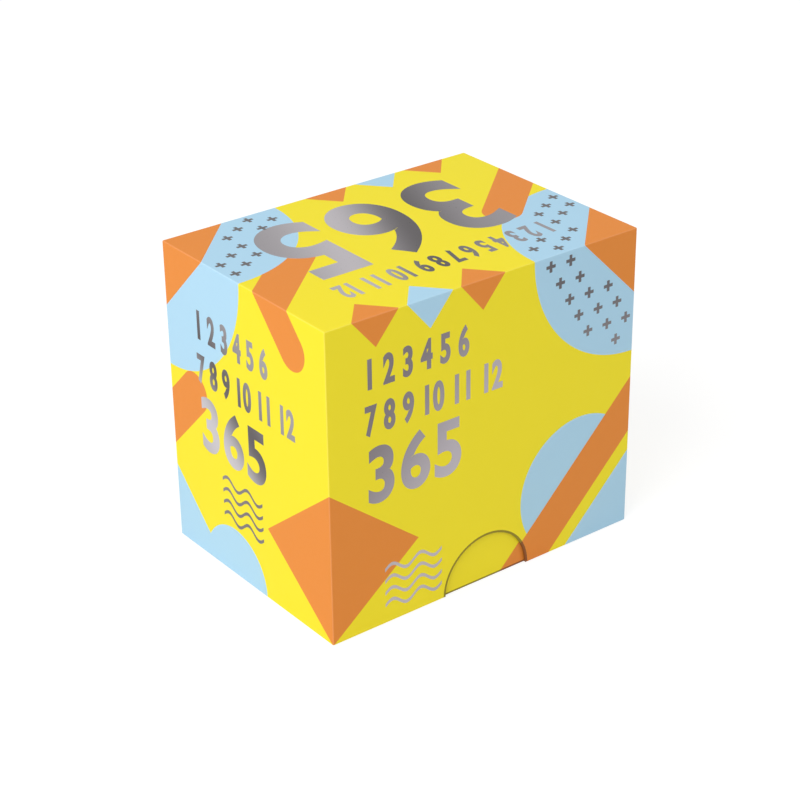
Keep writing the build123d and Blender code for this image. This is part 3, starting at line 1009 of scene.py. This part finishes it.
bpy.ops.object.select_all(action="DESELECT")
bpy.ops.mesh.primitive_grid_add(
    x_subdivisions=glue_steps_across, y_subdivisions=glue_steps_deep, size=1.0,
)
glue = bpy.context.object
glue.scale = (glue_width, glue_depth, 1)
glue.location = (0, (glue_low[1] + glue_high[1]) / 2, glue_high[2])
bpy.ops.object.transform_apply(location=True, rotation=True, scale=True)
for vertex in glue.data.vertices:
    stroke = noise.noise((vertex.co.x / brush_length, vertex.co.y / brush_width, 0))
    vertex.co.z -= brush_depth * (0.5 + 0.5 * stroke)
    edge_distance = min(
        vertex.co.x - glue_low[0], glue_high[0] - vertex.co.x,
        vertex.co.y - glue_low[1], glue_high[1] - vertex.co.y,
    )
    if edge_distance < glue_rim:
        vertex.co.z -= glue_round
bpy.ops.object.mode_set(mode="EDIT")
bpy.ops.mesh.select_all(action="SELECT")
bpy.ops.mesh.extrude_region_move(
    TRANSFORM_OT_translate={"value": (0, 0, glue_low[2] - glue_high[2] + brush_depth)},
)
bpy.ops.mesh.select_all(action="SELECT")
bpy.ops.mesh.normals_make_consistent(inside=False)
bpy.ops.object.mode_set(mode="OBJECT")
bpy.ops.object.shade_smooth_by_angle(angle=smooth_angle)
print("glue ridges up to", round(brush_depth / MM, 2), "mm deep")

# %% Dried padding glue
glue_cream, glue_white, cloud_mm = "#efe9da", "#faf7ef", 9.0

# Dried PVA glue: milky and rubbery, with a wet-looking skin that broken brush marks dull.
padding_glue, tree, shader, place = start_material("dried_padding_glue")
cloud = node(tree, "ShaderNodeTexNoise", {"Vector": place, "Scale": 1 / cloud_mm, "Detail": 3.0})
colour = node(tree, "ShaderNodeMix", {
    MIX_FACTOR: cloud.outputs[0], MIX_UNDER: linear(glue_cream), MIX_OVER: linear(glue_white),
}, data_type="RGBA")
shine = node(tree, "ShaderNodeMapRange", {"Value": cloud.outputs[0], "To Min": 0.28, "To Max": 0.5})
feed(tree, shader, {"Base Color": colour.outputs[MIX_RESULT], "Roughness": shine.outputs[0]})
keep(glue, "brushed_head_glue", "pad", padding_glue)
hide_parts("head_glue")

# %% [markdown]
# ## The easel strut
#
# The strut is white-lined board, creased where it hinges. Its broad faces are white paper, and its
# cut edges show the grey pulp inside. Two materials could be given face by face, but the solid is many
# small triangles. Which is which depends on the way a face looks, so the material compares the surface
# direction with that of the strut's broad face, read from its own mesh.

# %% White-lined board
strut_mesh = frame["nodes"]["easel_strut"].data
strut_facing = max(strut_mesh.polygons, key=lambda polygon: polygon.area).normal.copy()
if strut_facing.y < 0:
    strut_facing.negate()
flap_facing, broad_turn = (0, 1, 0), 0.7
liner_shade, liner_white, pulp_dark, pulp_pale = "#e6e1d6", "#f7f4ec", "#7d756a", "#b0a799"
liner_fibre_mm = 0.7


def lined_board(name, facing):
    # Waste-pulp board with white liner on both faces: a smooth pale sheet with grey fibrous edges.
    material, tree, shader, place = start_material(name)
    surface = node(tree, "ShaderNodeTexCoord").outputs["Normal"]
    turn = node(tree, "ShaderNodeVectorMath", {0: surface, 1: facing}, operation="DOT_PRODUCT")
    turn = node(tree, "ShaderNodeMath", {0: turn.outputs["Value"]}, operation="ABSOLUTE")
    broad = node(tree, "ShaderNodeMath", {0: turn.outputs[0], 1: broad_turn}, operation="GREATER_THAN")
    fibres = node(tree, "ShaderNodeTexNoise", {
        "Vector": place, "Scale": 1 / liner_fibre_mm, "Detail": 5.0,
    })
    liner = node(tree, "ShaderNodeMix", {
        MIX_FACTOR: fibres.outputs[0], MIX_UNDER: linear(liner_shade), MIX_OVER: linear(liner_white),
    }, data_type="RGBA")
    pulp = node(tree, "ShaderNodeMix", {
        MIX_FACTOR: fibres.outputs[0], MIX_UNDER: linear(pulp_dark), MIX_OVER: linear(pulp_pale),
    }, data_type="RGBA")
    colour = node(tree, "ShaderNodeMix", {
        MIX_FACTOR: broad.outputs[0],
        MIX_UNDER: pulp.outputs[MIX_RESULT],
        MIX_OVER: liner.outputs[MIX_RESULT],
    }, data_type="RGBA")
    relief = node(tree, "ShaderNodeBump", {
        "Strength": 0.2, "Distance": 0.03 * MM, "Height": fibres.outputs[0],
    })
    feed(tree, shader, {
        "Base Color": colour.outputs[MIX_RESULT], "Normal": relief.outputs[0],
        "Roughness": 0.8, "Specular IOR Level": 0.3,
    })
    return material


dress("easel_strut", lined_board("white_lined_board_strut", strut_facing))
dress("strut_flap", lined_board("white_lined_board_flap", flap_facing))

# %% [markdown]
# ## The crease strip
#
# A strip of paper is glued over the crease to strengthen it, half on the flap and half on the strut,
# so it bends when the strut folds. A rigid strip would tear away from one of them. So a fine grid is
# laid along both boards, and its points are placed on the pad above the crease, on the strut below it
# and on a straight run from one to the other between.

# %% The path over the crease
strip_up, strip_down, strip_gap = 12.0 * MM, 14.0 * MM, 0.08 * MM
flap_low, flap_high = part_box("strut_flap")
strut_joint = next(
    joint for joint in frame["record"]["behaviour"]["joints"] if joint["name"] == "strut_swing"
)
crease = Vector(strut_joint["pos_m"])
strut_skin = max((vertex.co - crease).dot(strut_facing) for vertex in strut_mesh.vertices)
strut_down = Vector((1, 0, 0)).cross(strut_facing)
if strut_down.z > 0:
    strut_down.negate()

strip_top = Vector((0, flap_high[1] + strip_gap, flap_low[2] + strip_up))
flap_end = Vector((0, flap_high[1] + strip_gap, flap_low[2]))
strut_end = crease + (strut_skin + strip_gap) * strut_facing
strip_foot = strut_end + strip_down * strut_down
corners = (strip_top, flap_end, strut_end, strip_foot)
strip_length = sum((after - before).length for before, after in zip(corners, corners[1:]))


def strip_place(share):
    travel = share * strip_length
    for before, after in zip(corners, corners[1:]):
        run = (after - before).length
        if travel <= run:
            return before.lerp(after, travel / run)
        travel -= run
    return corners[-1]


print("strip", round(strip_length / MM, 1), "mm long, crease", round(crease.z / MM, 1), "mm up")

# %% Crease strip
strip_width, strip_thickness = 34.0 * MM, 0.12 * MM
strip_columns, strip_steps = 2, 40

bpy.ops.object.select_all(action="DESELECT")
bpy.ops.mesh.primitive_grid_add(x_subdivisions=strip_columns, y_subdivisions=strip_steps, size=1.0)
strip = bpy.context.object
for vertex in strip.data.vertices:
    across = vertex.co.x * strip_width
    vertex.co = strip_place(0.5 - vertex.co.y) + Vector((across, 0, 0))
thicken(strip, strip_thickness)
bpy.ops.object.shade_smooth_by_angle(angle=smooth_angle)
strip.name = "crease_strip"
strip.data.name = "crease_strip"
strip.data.materials.append(lining_paper)
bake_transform(strip)
print("crease strip", len(strip.data.polygons), "faces")
